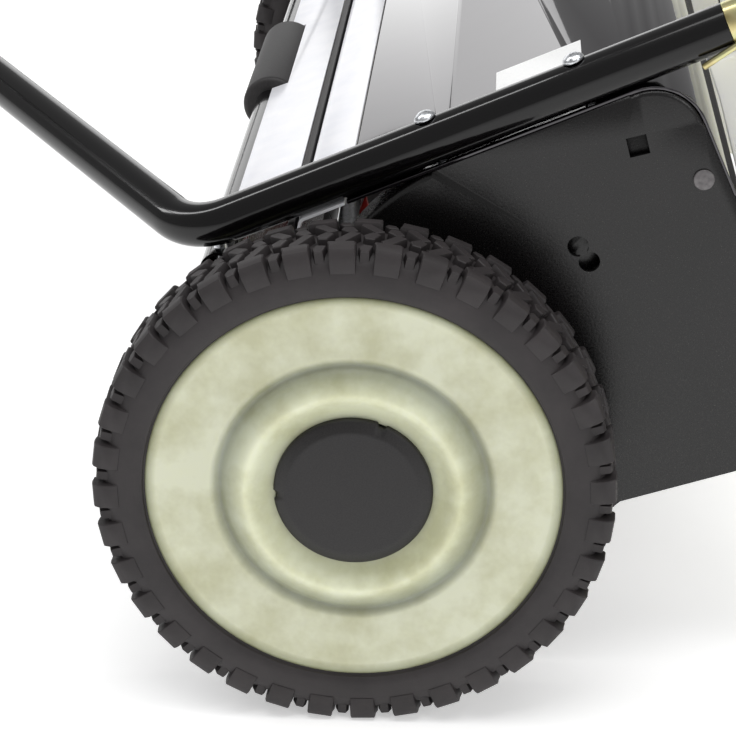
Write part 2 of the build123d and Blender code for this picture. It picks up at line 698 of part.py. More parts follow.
def pivot_bolt():
    half = STEM_R + GAP + EAR_T
    shank = bar_y(PIVOT_X, PIVOT_Z, PIVOT_R, -half - 9, half)
    return shank + hexagon_y(PIVOT_X, PIVOT_Z, 13, half, half + 5.5)


def pivot_nut():
    half = STEM_R + GAP + EAR_T
    return nut_y(PIVOT_X, PIVOT_Z, 13, PIVOT_R, -half - 6.5, -half)


def nut_y(x, z, across, hole, y0, y1):
    return hexagon_y(x, z, across, y0, y1) - bar_y(x, z, hole, y0 - 1, y1 + 1)


# ---------------------------------------------------------------- reel, bed knife, roller
def reel_blades():
    """Helical cutting blades; each winds round the reel axis along its length."""
    blades = []
    for i in range(BLADE_COUNT):
        place = Rot(0, 0, 360 * i / BLADE_COUNT) * Pos(REEL_R - BLADE_DEPTH / 2, 0)
        section = place * Rectangle(BLADE_DEPTH, BLADE_T)
        blade = Solid.extrude_linear_with_rotation(
            section.face(), center=(0, 0, 0), normal=(0, 0, 2 * BLADE_HALF), angle=BLADE_TWIST)
        blades.append(Pos(REEL_X, BLADE_HALF, REEL_Z) * Rot(90, 0, 0) * blade)
    return blades


def reel_spiders():
    """Star discs on the shaft that carry the blades."""
    spiders = []
    for y in SPIDER_STATIONS:
        disc = Cylinder(REEL_R - BLADE_DEPTH - 0.05, 4) - Cylinder(REEL_SHAFT_R, 6)
        disc += Cylinder(14, 14) - Cylinder(REEL_SHAFT_R, 16)
        turn = BLADE_TWIST * (BLADE_HALF - y) / (2 * BLADE_HALF)
        for i in range(BLADE_COUNT):
            angle = math.radians(turn + 360 * (i + 0.5) / BLADE_COUNT)
            disc -= Pos(46 * math.cos(angle), 46 * math.sin(angle), 0) * Cylinder(17.5, 10)
        spiders.append(Pos(REEL_X, y, REEL_Z) * Rot(90, 0, 0) * disc)
    return spiders


def reel_shaft():
    shaft = bar_y(REEL_X, REEL_Z, REEL_SHAFT_R, -RIM_Y + 22, RIM_Y - 22)
    for side in (-1, 1):
        shaft -= Pos(REEL_X, side * (RIM_Y - 31), REEL_Z) * Box(5, 9, 17)
    return shaft


def drive_pawl(side):
    """Sliding key in the shaft, drawn back inside the pinion's bore."""
    return Pos(REEL_X, side * (RIM_Y - 31), REEL_Z) * Box(4.8, 8.6, 14.6)


def pinion_clip():
    return ring_y(REEL_X, REEL_Z, 10.0, REEL_SHAFT_R, RIM_Y - 25 + GAP, RIM_Y - 23.4)


def bed_knife():
    edge_x = REEL_X - math.sqrt((REEL_R + 0.25) ** 2 - (REEL_Z - BED_TOP) ** 2)
    face = polygon([(-38, BED_TOP - 3), (edge_x - 2, BED_TOP - 3), (edge_x, BED_TOP), (-38, BED_TOP)])
    knife = slab(face, -BLADE_HALF, BLADE_HALF)
    for y in KNIFE_SCREW_Y:
        knife -= Pos(KNIFE_SCREW_X, y, BED_TOP) * Cylinder(BED_BOLT_R, 20)
    return knife


def bed_bar():
    inner = PLATE_Y - PLATE_T
    bar = Pos(-29, 0, BED_TOP + 7.5) * Box(22, 2 * inner, 15)
    for x, z in BED_BOLTS:
        bar -= bar_y(x, z, BED_BOLT_R, inner - 14, inner)
        bar -= bar_y(x, z, BED_BOLT_R, -inner, -inner + 14)
    for y in KNIFE_SCREW_Y:
        bar -= Pos(KNIFE_SCREW_X, y, BED_TOP) * Cylinder(BED_BOLT_R, 18)
    return bar


def knife_screw(y):
    shank = Pos(KNIFE_SCREW_X, y, BED_TOP + 3) * Cylinder(BED_BOLT_R, 12)
    return shank + Pos(KNIFE_SCREW_X, y, BED_TOP - 4.5) * Cylinder(4.5, 3)


def roller_bracket():
    """Arm that carries the rear roller and sets the height of cut."""
    y0, y1 = ARM_IN, ARM_IN + ARM_T
    arm = link(ARM_PIVOT, (ROLLER_X, ROLLER_Z), 24, y0, y1)
    arm += link(ARM_PIVOT, ARM_LOCK, 18, y0, y1)
    arm -= bar_y(*ARM_PIVOT, ARM_PIVOT_R + FIT, 300, 350)
    arm -= bar_y(*ARM_LOCK, ARM_LOCK_R, 300, 350)
    return arm - bar_y(ROLLER_X, ROLLER_Z, ROLLER_SHAFT_R, 300, 350)


def arm_pivot_bolt():
    bolt = bar_y(*ARM_PIVOT, ARM_PIVOT_R, ARM_IN - 6, PLATE_Y)
    return bolt + hexagon_y(*ARM_PIVOT, 15, PLATE_Y, PLATE_Y + 5)


def arm_pivot_nut():
    return nut_y(*ARM_PIVOT, 15, ARM_PIVOT_R, ARM_IN - GAP - 6, ARM_IN - GAP)


def height_lock_bolt():
    shank = bar_y(*ARM_LOCK, ARM_LOCK_R, ARM_IN, PLATE_Y + 6)
    return shank + bar_y(*ARM_LOCK, 7.0, ARM_IN - 3, ARM_IN)


def height_lock_nut():
    return nut_y(*ARM_LOCK, 13, ARM_LOCK_R, PLATE_Y + GAP, PLATE_Y + 5.5)


def roller():
    half = ARM_IN - 4
    tube = ring_y(ROLLER_X, ROLLER_Z, ROLLER_R, 20.0, -half, half)
    for y0 in (-half, half - 12):
        tube += ring_y(ROLLER_X, ROLLER_Z, 20.5, ROLLER_SHAFT_R + FIT, y0, y0 + 12)
    return tube


def roller_shaft():
    half = PLATE_Y - PLATE_T - GAP
    return bar_y(ROLLER_X, ROLLER_Z, ROLLER_SHAFT_R, -half, half)


# ---------------------------------------------------------------- front parts
def tie_rod():
    rod = bar_y(*TIE_ROD, TIE_ROD_R, -PLATE_Y - 0.5, PLATE_Y + 0.5)
    head_h = 1.6
    for y0 in (PLATE_Y, -PLATE_Y - head_h):
        rod += bar_y(*TIE_ROD, TIE_ROD_R + 1.1, y0, y0 + head_h)
    return rod


CATCHER_RIM_Z = 337.0
CATCHER_BACK = [(164.0, CATCHER_RIM_Z - 36 * math.tan(math.radians(SLOPE))), (171.0, 303.0),
                (184.6, 256.0), (240.0, 64.0)]
CATCHER_TOP = [CATCHER_BACK[0], (200.0, CATCHER_RIM_Z), (478.0, CATCHER_RIM_Z)]


def catcher_box():
    """One-piece moulded box: two sides, floor and front, with a turned-out rim."""
    outline = [*CATCHER_BACK, (250, 58), (410, 58), (455, 120), (470.2, CATCHER_RIM_Z), (200, CATCHER_RIM_Z)]
    inside = [(100, 400), (100, 61), (408.5, 61), (451.9, 121), (471.4, 400)]
    wall = CATCHER_Y - CATCHER_T
    box = slab(polygon(outline), -CATCHER_Y, CATCHER_Y) - slab(polygon(inside), -wall, wall)
    rim = slab(sheet(CATCHER_TOP, [8.0], CATCHER_T), -CATCHER_Y - 9, CATCHER_Y + 9)
    rim -= Pos(282, 0, 320) * Box(364, 2 * wall, 120)
    box += rim
    for side in (-1, 1):
        box -= bar_y(*HANG_PIN, PIN_R, side * CATCHER_Y - 10, side * CATCHER_Y + 10)
    return box


def hang_pin():
    """Steel pin riveted through the catcher's side; it sits in the hook."""
    x, z = HANG_PIN
    pin = bar_y(x, z, PIN_R, CATCHER_Y - CATCHER_T - 2, TUBE_Y + 14)
    return pin + bar_y(x, z, 7.0, CATCHER_Y - CATCHER_T - 4, CATCHER_Y - CATCHER_T)


# ---------------------------------------------------------------- write every piece
def build():
    os.makedirs("parts", exist_ok=True)
    for name, side in SIDES.items():
        wheel_parts(name, side)
        save(f"side_plate_{name}", mirrored(side_plate(), side))
        save(f"frame_tube_{name}", mirrored(frame_tube(), side))
    save("axles", both_sides(axle()))
    save("axle_nuts_and_clips", both_sides(axle_nut()) + both_sides(axle_clip()))
    save("dust_shields", both_sides(gear_shield()) + both_sides(hole_shield()))
    save("reel_bearings", both_sides(reel_bearing()))
    save("bearing_screws", [s for x, z in BEARING_SCREWS
                            for s in both_sides(screw(x, z, BEARING_SCREW_R, 3.5, 2.5, PLATE_Y + 4, 8))])
    save("hood_cover", hood_cover())
    save("hood_rear_panel", hood_rear_panel())
    save("seam_bead", seam_bead())
    save("rear_apron", rear_apron())
    save("rear_deflector", rear_deflector())
    save("front_lip_strip", front_lip_strip())
    save("data_label", data_label())
    save("tube_bolts", [s for x in TUBE_BOLT_X
                        for s in both_sides(tube_bolt(x)) + both_sides(tube_nut(x))])
    save("rear_cross_tube", cross_tube())
    save("cross_tube_bolts", both_sides(cross_tube_bolt()))
    save("carry_grip", carry_grip())
    save("catcher_hooks", both_sides(catcher_hook()))
    save("yoke_clamps", [yoke_clamp(True), yoke_clamp(False)])
    save("yoke_clevis", yoke_ears())
    save("yoke_bolts", [yoke_bolt(x) for x in YOKE_BOLT_X])
    save("handle_pivot_pins", [pivot_bolt(), pivot_nut(), stop_pin()])
    save("handle_stem_lower", handle_stem_lower())
    save("handle_stem_upper", handle_stem_upper())
    save("stem_bolt", stem_bolt())
    save("stem_knob", stem_knob())
    save("handle_tee", handle_tee())
    save("handle_crossbar", handle_crossbar())
    save("handle_grips", both_sides(handle_grip()))
    save("reel_shaft", reel_shaft())
    save("reel_spiders", reel_spiders())
    save("reel_blades", reel_blades())
    save("drive_pawls", [drive_pawl(side) for side in (-1, 1)])
    save("pinion_clips", both_sides(pinion_clip()))
    save("bed_knife", bed_knife())
    save("bed_bar", bed_bar())
    save("bed_bar_screws", [knife_screw(y) for y in KNIFE_SCREW_Y]
         + [s for x, z in BED_BOLTS
            for s in both_sides(screw(x, z, BED_BOLT_R, 4.5, 3.5, PLATE_Y, 16))])
    save("roller_brackets", both_sides(roller_bracket()))
    save("arm_pivot_bolts", both_sides(arm_pivot_bolt()) + both_sides(arm_pivot_nut()))
    save("height_lock_bolts", both_sides(height_lock_bolt()) + both_sides(height_lock_nut()))
    save("rear_roller", roller())
    save("roller_shaft", roller_shaft())
    save("front_tie_rod", tie_rod())
    save("catcher_box", catcher_box())
    save("catcher_pins", both_sides(hang_pin()))


build()
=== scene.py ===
import bmesh
import bpy
import json
import math
from mathutils import Matrix, Vector

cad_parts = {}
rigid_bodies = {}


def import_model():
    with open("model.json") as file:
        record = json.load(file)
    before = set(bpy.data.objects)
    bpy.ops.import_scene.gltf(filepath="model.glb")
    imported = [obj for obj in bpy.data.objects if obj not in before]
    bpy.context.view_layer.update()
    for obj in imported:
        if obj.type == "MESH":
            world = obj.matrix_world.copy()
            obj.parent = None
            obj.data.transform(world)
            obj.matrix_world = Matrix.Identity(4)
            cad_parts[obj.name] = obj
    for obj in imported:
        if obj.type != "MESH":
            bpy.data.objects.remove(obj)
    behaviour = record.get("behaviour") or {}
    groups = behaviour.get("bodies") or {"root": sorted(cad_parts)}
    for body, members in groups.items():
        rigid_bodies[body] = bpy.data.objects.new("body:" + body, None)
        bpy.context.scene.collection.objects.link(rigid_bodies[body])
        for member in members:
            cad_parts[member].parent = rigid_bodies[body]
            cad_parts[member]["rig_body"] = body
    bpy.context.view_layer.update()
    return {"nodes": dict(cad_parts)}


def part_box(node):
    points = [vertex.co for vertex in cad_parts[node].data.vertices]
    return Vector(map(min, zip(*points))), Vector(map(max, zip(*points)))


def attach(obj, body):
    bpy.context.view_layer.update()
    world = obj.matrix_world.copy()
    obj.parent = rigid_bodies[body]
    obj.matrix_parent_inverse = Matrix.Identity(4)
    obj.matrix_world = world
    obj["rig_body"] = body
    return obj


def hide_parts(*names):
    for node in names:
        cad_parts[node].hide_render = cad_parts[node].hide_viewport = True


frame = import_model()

MM = 0.001
SIDES = {"right": -1, "left": 1}


# ---------------------------------------------------------------- studio
# A pale, seamless floor with soft light all round, as in a product studio.
# The camera is low on the right-hand side and close to the wheel, slightly above the hood.
def colour(code):
    """sRGB hex to the linear values that shaders take."""
    values = [int(code[i:i + 2], 16) / 255 for i in (1, 3, 5)]
    linear = [v / 12.92 if v <= 0.04045 else ((v + 0.055) / 1.055) ** 2.4 for v in values]
    return (*linear, 1.0)


def add(tree, kind, inputs=None, stops=None, **settings):
    """Add a shader node, set its properties and sockets, and link the sockets given to it."""
    node = tree.nodes.new("ShaderNode" + kind)
    for key, value in settings.items():
        setattr(node, key, value)
    for key, value in (inputs or {}).items():
        if isinstance(value, bpy.types.NodeSocket):
            tree.links.new(value, node.inputs[key])
        else:
            node.inputs[key].default_value = value
    for i, (place, shade) in enumerate(stops or []):
        ramp = node.color_ramp.elements
        stop = ramp[i] if i < len(ramp) else ramp.new(place)
        stop.position = place
        stop.color = shade if isinstance(shade, tuple) else (shade, shade, shade, 1.0)
    return node


def material(name):
    """A new material with an empty tree; returns the material and its tree."""
    made = bpy.data.materials.new(name)
    made.use_nodes = True
    made.node_tree.nodes.clear()
    return made, made.node_tree


def finish_material(tree, bump=None, **sockets):
    """Close the tree with one principled surface."""
    inputs = {key.replace("_", " "): value for key, value in sockets.items()}
    if bump:
        inputs["Normal"] = bump.outputs["Normal"]
    surface = add(tree, "BsdfPrincipled", inputs)
    add(tree, "OutputMaterial", {"Surface": surface.outputs["BSDF"]})


def link_object(name, data):
    made = bpy.data.objects.new(name, data)
    bpy.context.scene.collection.objects.link(made)
    return made


CAMERA_PLACE = Vector((0.0669, -1.4155, 0.6403))
CAMERA_AZIMUTH, CAMERA_ELEVATION = math.radians(3.36), math.radians(23.75)
camera_data = bpy.data.cameras.new("camera")
camera_data.lens = 115.6
camera_data.sensor_width = 36.0
camera_data.clip_start = 0.05
camera = link_object("camera", camera_data)
camera.location = CAMERA_PLACE
camera.rotation_euler = (math.pi / 2 - CAMERA_ELEVATION, 0, CAMERA_AZIMUTH)
bpy.context.scene.camera = camera

floor_mesh = bpy.data.meshes.new("floor")
FLOOR_HALF = 30.0
floor_mesh.from_pydata([(-FLOOR_HALF, -FLOOR_HALF, 0), (FLOOR_HALF, -FLOOR_HALF, 0),
                        (FLOOR_HALF, FLOOR_HALF, 0), (-FLOOR_HALF, FLOOR_HALF, 0)], [], [(0, 1, 2, 3)])
floor = link_object("floor", floor_mesh)
paper, tree = material("matt_paper")
finish_material(tree, Base_Color=colour("#f7f7f7"), Roughness=0.9, Emission_Color=colour("#ffffff"),
                Emission_Strength=0.42)
floor_mesh.materials.append(paper)

world = bpy.data.worlds.new("studio")
world.use_nodes = True
world.node_tree.nodes.clear()
seen = add(world.node_tree, "LightPath")
ROOM_LEVEL = 0.36
level = add(world.node_tree, "MapRange",
            {"Value": seen.outputs["Is Camera Ray"], "To Min": ROOM_LEVEL, "To Max": 1.0})
sky = add(world.node_tree, "Background", {"Color": (1.0, 1.0, 1.0, 1.0), "Strength": level.outputs["Result"]})
add(world.node_tree, "OutputWorld", {"Surface": sky.outputs["Background"]})
bpy.context.scene.world = world
bpy.context.scene.view_settings.view_transform = "Standard"


def softbox(name, place, target, size, radiance):
    """Rectangular area light aimed at a point; its power follows from size and radiance."""
    data = bpy.data.lights.new(name, "AREA")
    data.shape = "RECTANGLE"
    data.size, data.size_y = size
    data.energy = radiance * math.pi * size[0] * size[1]
    light = link_object(name, data)
    light.location = place
    light.rotation_euler = (Vector(target) - Vector(place)).to_track_quat("-Z", "Y").to_euler()


softbox("overhead", (0.3, -0.7, 2.6), (0.1, -0.3, 0.0), (2.4, 1.4), 3.2)
softbox("left_strip", (-1.5, -0.1, 1.75), (0.0, -0.3, 0.25), (0.22, 1.5), 9.0)
softbox("behind_left", (-0.95, 2.7, 0.95), (0.05, 0.0, 0.28), (3.2, 1.5), 1.15)
softbox("front_right", (1.5, -1.9, 1.3), (0.2, -0.3, 0.2), (0.9, 0.9), 2.5)


# ---------------------------------------------------------------- side plates
# Two pressed steel plates, 2.5 mm thick, with an edge turned inward along the top and front.
# Powder coated satin black; they carry the axles, reel bearings and bed bar between them.
def refined(node, width, big=None, big_width=0.0, segments=2, flat=0.5):
    """Copy of a CAD piece with joined facets and small rounded edges.

    Edges picked by big get big_width; with no width the others stay sharp."""
    mesh = frame["nodes"][node].data.copy()
    mesh.materials.clear()
    cage = bmesh.new()
    cage.from_mesh(mesh)
    bmesh.ops.remove_doubles(cage, verts=cage.verts, dist=2e-6)
    if flat:
        bmesh.ops.dissolve_limit(cage, angle_limit=math.radians(flat), verts=cage.verts, edges=cage.edges)
    weights = cage.edges.layers.float.new("bevel_weight_edge")
    largest = max(width, big_width)
    for edge in cage.edges:
        if len(edge.link_faces) == 2 and edge.calc_face_angle(0.0) > math.radians(28):
            edge[weights] = big_width / largest if big and big(edge) else width / largest
            edge.smooth = width > 0 or edge[weights] > 0
    for face in cage.faces:
        face.smooth = True
    cage.to_mesh(mesh)
    cage.free()
    made = link_object(node + "_finished", mesh)
    bevel = made.modifiers.new("edges", "BEVEL")
    bevel.limit_method = "WEIGHT"
    bevel.width = largest
    bevel.segments = segments
    bevel.use_clamp_overlap = False
    bevel.harden_normals = width > 0
    return made


def dress(piece, node, surface):
    """Give a piece its material and let it stand for its CAD node."""
    piece.data.materials.clear()
    piece.data.materials.append(surface)
    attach(piece, frame["nodes"][node]["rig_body"])
    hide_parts(node)


def powder_coat():
    """Powder coated steel: satin black with a fine orange-peel skin and slight clouding."""
    made, tree = material("black_powder_coat")
    place = add(tree, "TexCoord").outputs["Object"]
    cloud = add(tree, "TexNoise", {"Vector": place, "Scale": 18.0, "Detail": 3.0})
    peel_size = 1.3 * MM
    peel = add(tree, "TexNoise", {"Vector": place, "Scale": 1 / peel_size, "Detail": 2.0})
    shade = add(tree, "ValToRGB", {"Fac": cloud.outputs["Fac"]},
                stops=[(0.3, colour("#090808")), (0.7, colour("#100e0f"))])
    gloss = add(tree, "MapRange", {"Value": peel.outputs["Fac"], "To Min": 0.2, "To Max": 0.34})
    bump = add(tree, "Bump", {"Height": peel.outputs["Fac"], "Strength": 0.5, "Distance": 0.1 * MM})
    finish_material(tree, bump, Base_Color=shade.outputs["Color"], Roughness=gloss.outputs["Result"])
    return made


black_powder_coat = powder_coat()
PLATE_FACE = 338.0 * MM
BEND_RADIUS = 3.0 * MM


def is_bend(edge):
    """True for the outer corner where a side plate turns into its flange."""
    if any(abs(abs(v.co.y) - PLATE_FACE) > 1e-5 for v in edge.verts):
        return False
    return any(min(abs(v.co.y) for v in face.verts) < PLATE_FACE - 10 * MM for face in edge.link_faces)


for name in SIDES:
    node = f"side_plate_{name}"
    dress(refined(node, 0.0, is_bend, BEND_RADIUS, segments=4, flat=0), node, black_powder_coat)


# ---------------------------------------------------------------- hood
# One bright black sheet over the reel, bent down at the front and bolted under the frame tubes.
# A narrow bright panel, a black edging and a pale apron close it behind.
def gloss_enamel():
    """Stoved enamel on smooth sheet: black under a thick clear gloss that mirrors the room."""
    made, tree = material("black_gloss_enamel")
    place = add(tree, "TexCoord").outputs["Object"]
    wave = add(tree, "TexNoise", {"Vector": place, "Scale": 1 / (35 * MM), "Detail": 1.0})
    bump = add(tree, "Bump", {"Height": wave.outputs["Fac"], "Strength": 0.4, "Distance": 0.25 * MM})
    finish_material(tree, bump, Base_Color=colour("#0d0b0e"), Roughness=0.06, IOR=1.5,
                    Specular_Tint=colour("#f6ecf8"), Coat_Weight=1.0, Coat_Roughness=0.02, Coat_IOR=1.6)
    return made


def make_pale_grey_gloss():
    """Pale grey surface: smooth, cool and glossy, with a faint flow-out ripple."""
    made, tree = material("pale_grey_gloss")
    place = add(tree, "TexCoord").outputs["Object"]
    flow = add(tree, "TexNoise", {"Vector": place, "Scale": 1 / (16 * MM), "Detail": 2.0})
    shade = add(tree, "ValToRGB", {"Fac": flow.outputs["Fac"]},
                stops=[(0.3, colour("#eaebf1")), (0.7, colour("#f2f2f6"))])
    bump = add(tree, "Bump", {"Height": flow.outputs["Fac"], "Strength": 0.3, "Distance": 0.1 * MM})
    finish_material(tree, bump, Base_Color=shade.outputs["Color"], Roughness=0.22)
    return made


def soft_rubber(name, shade, grain):
    """Moulded rubber: dull dark grey with a fine matt grain."""
    made, tree = material(name)
    place = add(tree, "TexCoord").outputs["Object"]
    speck = add(tree, "TexNoise", {"Vector": place, "Scale": 1 / grain, "Detail": 3.0})
    tone = add(tree, "ValToRGB", {"Fac": speck.outputs["Fac"]},
               stops=[(0.3, colour(shade[0])), (0.7, colour(shade[1]))])
    bump = add(tree, "Bump", {"Height": speck.outputs["Fac"], "Strength": 0.5, "Distance": 0.1 * MM})
    finish_material(tree, bump, Base_Color=tone.outputs["Color"], Roughness=0.55)
    return made


black_gloss_enamel = gloss_enamel()
pale_grey_gloss = make_pale_grey_gloss()
edging_rubber = soft_rubber("edging_rubber", ("#161415", "#232021"), 0.9 * MM)
dress(refined("hood_cover", 0.3 * MM), "hood_cover", black_gloss_enamel)
# The narrow rear panel, in the hood top's plane, is coloured pale grey, near-white beside the black top.
dress(refined("hood_rear_panel", 0.3 * MM), "hood_rear_panel", pale_grey_gloss)
dress(refined("rear_apron", 0.25 * MM), "rear_apron", pale_grey_gloss)
dress(refined("rear_deflector", 0.25 * MM), "rear_deflector", black_powder_coat)
dress(refined("seam_bead", 0.8 * MM, segments=3), "seam_bead", edging_rubber)
dress(refined("front_lip_strip", 0.4 * MM), "front_lip_strip", edging_rubber)


# ---------------------------------------------------------------- blank label
# A plain white film label on the hood's top, without any print.
def label_film():
    """White polyester film: clean and slightly satin, without any print."""
    made, tree = material("white_label_film")
    place = add(tree, "TexCoord").outputs["Object"]
    tooth = add(tree, "TexNoise", {"Vector": place, "Scale": 1 / (0.8 * MM)})
    shade = add(tree, "ValToRGB", {"Fac": tooth.outputs["Fac"]},
                stops=[(0.3, colour("#eceded")), (0.7, colour("#f8f8f7"))])
    finish_material(tree, Base_Color=shade.outputs["Color"], Roughness=0.35)
    return made


dress(refined("data_label", 0.1 * MM), "data_label", label_film())


# ---------------------------------------------------------------- frame tubes
# 7/8 inch steel tube, bent to run along each plate's top edge and back to the yoke.
# Wet-look black enamel; light runs along it as one long sharp streak.
TUBE_R = 11.1 * MM
TUBE_WALL = 1.5 * MM
TUBE_Y = 330.0 * MM
SLOPE = math.radians(23.2)
HOOD_T = 1.5 * MM
CORNER = (152.3 * MM, 319.4 * MM)
TUBE_LIFT = HOOD_T + TUBE_R + 0.05 * MM
TUBE_FRONT_X, TUBE_BEND_X = 172.0 * MM, -83.0 * MM
TUBE_BEND_R, YOKE_BEND_R = 36 * MM, 45 * MM
YOKE_PLACES = [(-335.0 * MM, 20.0 * MM, 290.0 * MM), (-415.0 * MM, 20.0 * MM, 290.0 * MM)]


def on_slope(x, lift):
    """Point over a side plate's top edge line, raised square to the slope."""
    along = (x - CORNER[0]) / math.cos(SLOPE)
    return (x - lift * math.sin(SLOPE), CORNER[1] + along * math.sin(SLOPE) + lift * math.cos(SLOPE))


def rounded_route(corners, radii, step):
    """Points along straight runs joined by arcs."""
    route = [Vector(corners[0])]
    for before, here, after, radius in zip(corners, corners[1:], corners[2:], radii):
        here = Vector(here)
        back, ahead = (Vector(before) - here).normalized(), (Vector(after) - here).normalized()
        half = back.angle(ahead) / 2
        middle = here + (back + ahead).normalized() * radius / math.sin(half)
        start, end = here + back * radius / math.tan(half), here + ahead * radius / math.tan(half)
        turn = math.pi - 2 * half
        count = max(4, round(radius * turn / step))
        arm = start - middle
        spin = arm.cross(end - middle).normalized()
        route += [middle + Matrix.Rotation(turn * i / count, 3, spin) @ arm for i in range(count + 1)]
    return route + [Vector(corners[-1])]


def pipe(name, route, outer, inner, around=48):
    """Hollow tube with square-cut ends along a route."""
    shape = bmesh.new()
    side = (route[1] - route[0]).orthogonal()
    rings = []
    for i, point in enumerate(route):
        ahead = (route[min(i + 1, len(route) - 1)] - route[max(i - 1, 0)]).normalized()
        side = (side - ahead * side.dot(ahead)).normalized()
        up = ahead.cross(side)
        for radius in (outer, inner):
            rings.append([shape.verts.new(point + radius * (math.cos(t) * side + math.sin(t) * up))
                          for t in (2 * math.pi * k / around for k in range(around))])
    outside, inside = rings[0::2], rings[1::2]
    for k in range(around):
        n = (k + 1) % around
        for a, b in zip(outside, outside[1:]):
            shape.faces.new((a[k], a[n], b[n], b[k]))
        for a, b in zip(inside, inside[1:]):
            shape.faces.new((a[n], a[k], b[k], b[n]))
        shape.faces.new((outside[0][n], outside[0][k], inside[0][k], inside[0][n]))
        shape.faces.new((outside[-1][k], outside[-1][n], inside[-1][n], inside[-1][k]))
    return smooth_object(name, shape)


def smooth_object(name, shape, sharp=40):
    """Turn a bmesh into an object that is smooth except across sharp edges."""
    bmesh.ops.recalc_face_normals(shape, faces=shape.faces)
    for face in shape.faces:
        face.smooth = True
    for edge in shape.edges:
        edge.smooth = not (len(edge.link_faces) == 2 and edge.calc_face_angle(0.0) > math.radians(sharp))
    mesh = bpy.data.meshes.new(name)
    shape.to_mesh(mesh)
    shape.free()
    return link_object(name, mesh)


def tube_enamel():
    """Gloss enamel on drawn tube: deep black, almost wet, with a very slight ripple."""
    made, tree = material("black_tube_enamel")
    place = add(tree, "TexCoord").outputs["Object"]
    ripple = add(tree, "TexNoise", {"Vector": place, "Scale": 1 / (4 * MM), "Detail": 2.0})
    bump = add(tree, "Bump", {"Height": ripple.outputs["Fac"], "Strength": 0.25, "Distance": 0.08 * MM})
    finish_material(tree, bump, Base_Color=colour("#070607"), Roughness=0.16, Specular_IOR_Level=0.2,
                    Coat_Weight=0.45, Coat_Roughness=0.03, Coat_IOR=1.5)
    return made


black_tube_enamel = tube_enamel()
end_shift = TUBE_LIFT * math.sin(SLOPE)
tube_front = on_slope(TUBE_FRONT_X + end_shift, TUBE_LIFT)
tube_bend = on_slope(TUBE_BEND_X + end_shift, TUBE_LIFT)
for name, side in SIDES.items():
    corners = [(tube_front[0], side * TUBE_Y, tube_front[1]), (tube_bend[0], side * TUBE_Y, tube_bend[1])]
    corners += [(x, side * y, z) for x, y, z in YOKE_PLACES]
    route = rounded_route(corners, (TUBE_BEND_R, YOKE_BEND_R), 2.5 * MM)
    tube = pipe(f"frame_tube_{name}_drawn", route, TUBE_R, TUBE_R - TUBE_WALL)
    dress(tube, f"frame_tube_{name}", black_tube_enamel)


# ---------------------------------------------------------------- bright fasteners
# Zinc plated steel bolts, nuts, clips and pins; domed heads show on top of the frame tubes.
# They are turned or cold headed, then barrel plated, which leaves them bright with fine scuffs.
def zinc_plate():
    """Bright zinc: pale blue-grey metal with small darker scuffs."""
    made, tree = material("bright_zinc_plate")
    place = add(tree, "TexCoord").outputs["Object"]
    scuff = add(tree, "TexNoise", {"Vector": place, "Scale": 1 / (1.5 * MM), "Detail": 4.0})
    shade = add(tree, "ValToRGB", {"Fac": scuff.outputs["Fac"]},
                stops=[(0.35, colour("#b9bcc0")), (0.6, colour("#e3e5e8"))])
    gloss = add(tree, "MapRange", {"Value": scuff.outputs["Fac"], "To Min": 0.18, "To Max": 0.38})
    finish_material(tree, Base_Color=shade.outputs["Color"], Metallic=1.0, Roughness=gloss.outputs["Result"])
    return made


bright_zinc = zinc_plate()
for node in ("tube_bolts", "axle_nuts_and_clips", "bearing_screws", "bed_bar_screws", "cross_tube_bolts",
             "yoke_bolts", "handle_pivot_pins", "stem_bolt", "arm_pivot_bolts", "height_lock_bolts",
             "catcher_pins", "pinion_clips"):
    dress(refined(node, 0.3 * MM), node, bright_zinc)


# ---------------------------------------------------------------- tie rod
# A steel rod between the side plates behind the hood's lip, headed over outside each plate.
# Its flat grey heads are wiped with the plate's paint.
def painted_head():
    """Zinc rod wiped with paint: mid grey metal, dull and slightly streaked."""
    made, tree = material("grey_wiped_steel")
    place = add(tree, "TexCoord").outputs["Object"]
    streak = add(tree, "TexNoise", {"Vector": place, "Scale": 1 / (2.5 * MM), "Detail": 3.0})
    shade = add(tree, "ValToRGB", {"Fac": streak.outputs["Fac"]},
                stops=[(0.3, colour("#5f5c5d")), (0.7, colour("#7c797a"))])
    finish_material(tree, Base_Color=shade.outputs["Color"], Metallic=0.5, Roughness=0.5)
    return made


dress(refined("front_tie_rod", 0.5 * MM), "front_tie_rod", painted_head())


# ---------------------------------------------------------------- cross tube and carry grip
# A thinner black tube bolted under both frame tubes behind the apron.
# A moulded rubber sleeve round its middle is the hand hold for lifting the mower.
CROSS_X, CROSS_Z = -70.3 * MM, 214.9 * MM
CROSS_R = 9.5 * MM


def turned(name, outline, x, z, flip=1, around=96):
    """Closed outline of (radius, y) points turned about a line along Y."""
    shape = bmesh.new()
    rings = []
    for k in range(around):
        t = 2 * math.pi * k / around
        rings.append([shape.verts.new((x + r * math.cos(t), flip * y, z + r * math.sin(t)))
                      for r, y in outline])
    count = len(outline)
    for k in range(around):
        here, there = rings[k], rings[(k + 1) % around]
        for i in range(count):
            n = (i + 1) % count
            shape.faces.new((here[i], here[n], there[n], there[i]))
    bmesh.ops.remove_doubles(shape, verts=shape.verts, dist=1e-6)
    return smooth_object(name, shape)


